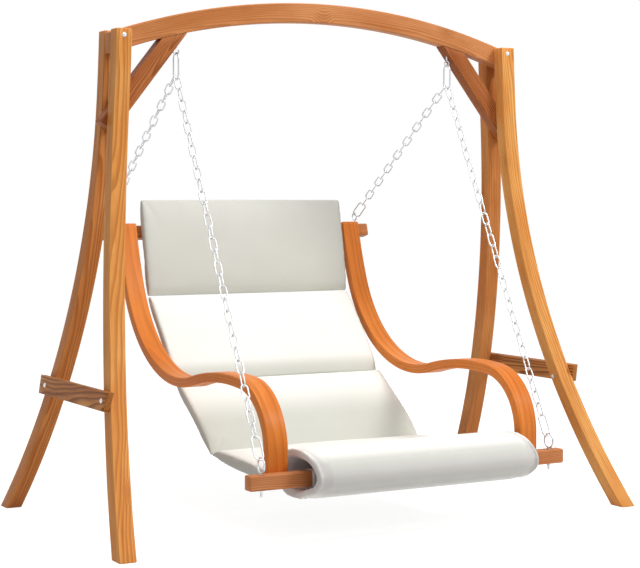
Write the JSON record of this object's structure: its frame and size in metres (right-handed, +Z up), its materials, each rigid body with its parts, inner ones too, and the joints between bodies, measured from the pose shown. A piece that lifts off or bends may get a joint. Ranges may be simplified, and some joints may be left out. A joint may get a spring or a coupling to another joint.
{
  "type": "porch swing",
  "caption": "Timber porch swing: a padded lounge seat on bent arms, hung on chains from an arched beam between curved, splayed legs.",
  "frame": {"origin": "on the floor under the middle of the whole swing, side to side and front to back", "axes": "+X along the top beam, to the right as seen from the front; +Y from the front to the back; +Z up"},
  "size_m": [2.136, 1.5582, 1.923],
  "materials": {
    "leg_timber": "oiled softwood with knots",
    "brace_timber": "oiled softwood, darker stain",
    "bar_timber": "reddish stained timber",
    "arm_laminate": "varnished bent laminate",
    "zinc_steel": "bright zinc-plated steel",
    "white_cloth": "plain woven cover over padding",
    "grey_cloth": "plain woven cover over padding",
    "sleeve_cloth": "webbing cloth"
  },
  "bodies": {
    "stand": {"front_left_leg": "leg_timber", "front_right_leg": "leg_timber", "rear_left_leg": "leg_timber", "rear_right_leg": "leg_timber", "top_beam": "leg_timber", "left_brace": "brace_timber", "right_brace": "brace_timber", "left_side_rail": "leg_timber", "right_side_rail": "leg_timber", "leg_bolts": "zinc_steel", "leg_bolt_washers": "zinc_steel", "leg_bolt_nuts": "zinc_steel", "brace_screws": "zinc_steel", "rail_bolts": "zinc_steel", "rail_nuts": "zinc_steel", "left_eye_screw": "zinc_steel", "right_eye_screw": "zinc_steel"},
    "hangers": {"left_hanger_link": "zinc_steel", "right_hanger_link": "zinc_steel"},
    "seat": {"front_bar": "bar_timber", "rear_bar": "bar_timber", "left_arm": "arm_laminate", "right_arm": "arm_laminate", "front_left_chain": "zinc_steel", "front_right_chain": "zinc_steel", "rear_left_chain": "zinc_steel", "rear_right_chain": "zinc_steel", "front_connecting_links": "zinc_steel", "rear_connecting_links": "zinc_steel", "front_seat_eyes": "zinc_steel", "rear_seat_eyes": "zinc_steel", "seat_eye_washers": "zinc_steel", "seat_eye_nuts": "zinc_steel", "front_arm_screws": "zinc_steel", "rear_arm_screws": "zinc_steel", "headrest_pad": "grey_cloth", "upper_back_pad": "white_cloth", "lower_back_pad": "white_cloth", "seat_pad": "white_cloth", "front_roll": "white_cloth", "front_sleeve": "sleeve_cloth", "rear_sleeve": "sleeve_cloth"}
  },
  "joints": [
    {"name": "hanger_swing", "type": "hinge", "parent": "stand", "child": "hangers", "pos_m": [0, 0.05722, 1.71051], "axis": [1, 0, 0], "range_deg": [-15, 15]},
    {"name": "seat_swing", "type": "hinge", "parent": "hangers", "child": "seat", "pos_m": [0, 0.05722, 1.64081], "axis": [1, 0, 0], "range_deg": [-25, 25]}
  ]
}
